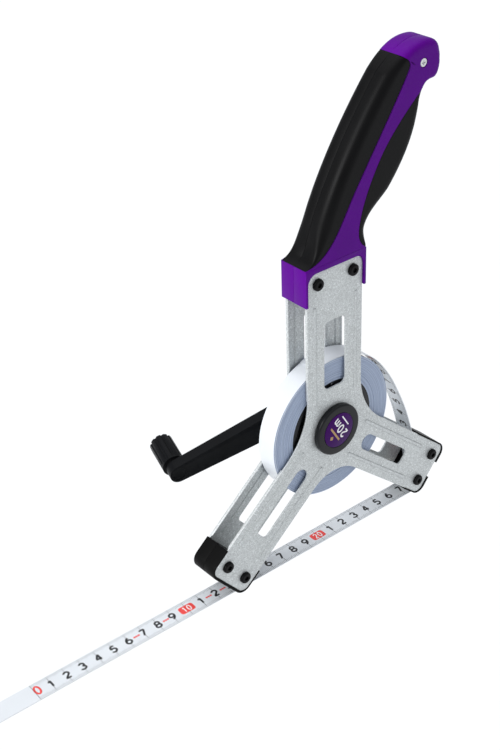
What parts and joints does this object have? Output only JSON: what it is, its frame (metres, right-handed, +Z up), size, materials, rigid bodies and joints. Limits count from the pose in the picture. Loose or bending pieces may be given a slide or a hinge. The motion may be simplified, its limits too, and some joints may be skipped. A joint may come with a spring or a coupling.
{
  "type": "surveyor tape reel",
  "caption": "Hand-held open reel: Y-shaped sheet-metal frame with a pistol grip, tape guides at the lower arms, a cranked drum of white measuring tape, and a drawn-out tail with an end ring.",
  "frame": {"origin": "middle of the hand grip, at mid-depth and mid-height of the handle", "axes": "+Z up the handle from the spindle, +Y from the label face to the crank face, +X from the tail's side to the side the handle leans to"},
  "size_m": [0.3552, 0.0863, 0.3015],
  "materials": {
    "frame_silver": "fine speckled silver coating on pressed sheet, satin",
    "screw_black": "black oxide button-head screws",
    "plain_steel": "bright turned steel",
    "brass_insert": "turned brass",
    "handle_purple": "moulded plastic, satin, fine texture",
    "grip_rubber": "soft overmoulded grip, matt",
    "guide_black": "moulded black plastic",
    "bush_plastic": "ivory bearing plastic",
    "drum_black": "moulded black plastic",
    "coil_tape": "wound tape edges, bluish white",
    "tape_white": "white coated steel tape, semi-matt, printed graduations",
    "cap_black": "black moulded cap, satin",
    "label_purple": "printed purple disc",
    "crank_black": "moulded black nylon, fine texture"
  },
  "bodies": {
    "frame": {"front_frame_plate": "frame_silver", "rear_frame_plate": "frame_silver", "front_frame_screws": "screw_black", "rear_frame_screws": "screw_black", "handle_spacers": "plain_steel", "left_guide_spacers": "plain_steel", "right_guide_spacers": "plain_steel", "handle_shell_front": "handle_purple", "handle_shell_rear": "handle_purple", "palm_grip_front": "grip_rubber", "palm_grip_rear": "grip_rubber", "finger_grip_front": "grip_rubber", "finger_grip_rear": "grip_rubber", "handle_end_screw": "plain_steel", "handle_end_insert": "brass_insert", "left_guide_front": "guide_black", "left_guide_rear": "guide_black", "right_guide_front": "guide_black", "right_guide_rear": "guide_black", "front_bush": "bush_plastic", "rear_bush": "bush_plastic", "tape_run": "tape_white", "tape_tail": "tape_white", "tape_end_clip": "plain_steel", "clip_rivets": "plain_steel"},
    "reel": {"spindle": "plain_steel", "retaining_ring": "plain_steel", "drum": "drum_black", "tape_anchor_pin": "plain_steel", "tape_coil": "coil_tape", "hub_cap": "cap_black", "cap_label": "label_purple", "crank_arm": "crank_black", "crank_washer": "plain_steel", "crank_screw": "screw_black", "knob_pin": "plain_steel", "knob_washer": "bush_plastic"},
    "knob": {"crank_knob": "crank_black"},
    "roller": {"guide_roller": "bush_plastic"},
    "end_ring": {"tape_end_ring": "plain_steel"}
  },
  "joints": [
    {"name": "drum_spin", "type": "hinge", "parent": "frame", "child": "reel", "pos_m": [-0.028, 0, -0.15], "axis": [0, 1, 0], "continuous": true},
    {"name": "knob_spin", "type": "hinge", "parent": "reel", "child": "knob", "pos_m": [-0.10296, 0.04269, -0.17421], "axis": [0.2861, 0.9537, 0.0924], "continuous": true},
    {"name": "roller_spin", "type": "hinge", "parent": "frame", "child": "roller", "pos_m": [0.04264, 0, -0.22151], "axis": [0, 1, 0], "continuous": true},
    {"name": "ring_swing", "type": "hinge", "parent": "frame", "child": "end_ring", "pos_m": [-0.27187, 0.00689, -0.23591], "axis": [0.0419, 0.9991, 0], "range_deg": [-95, 95]}
  ]
}
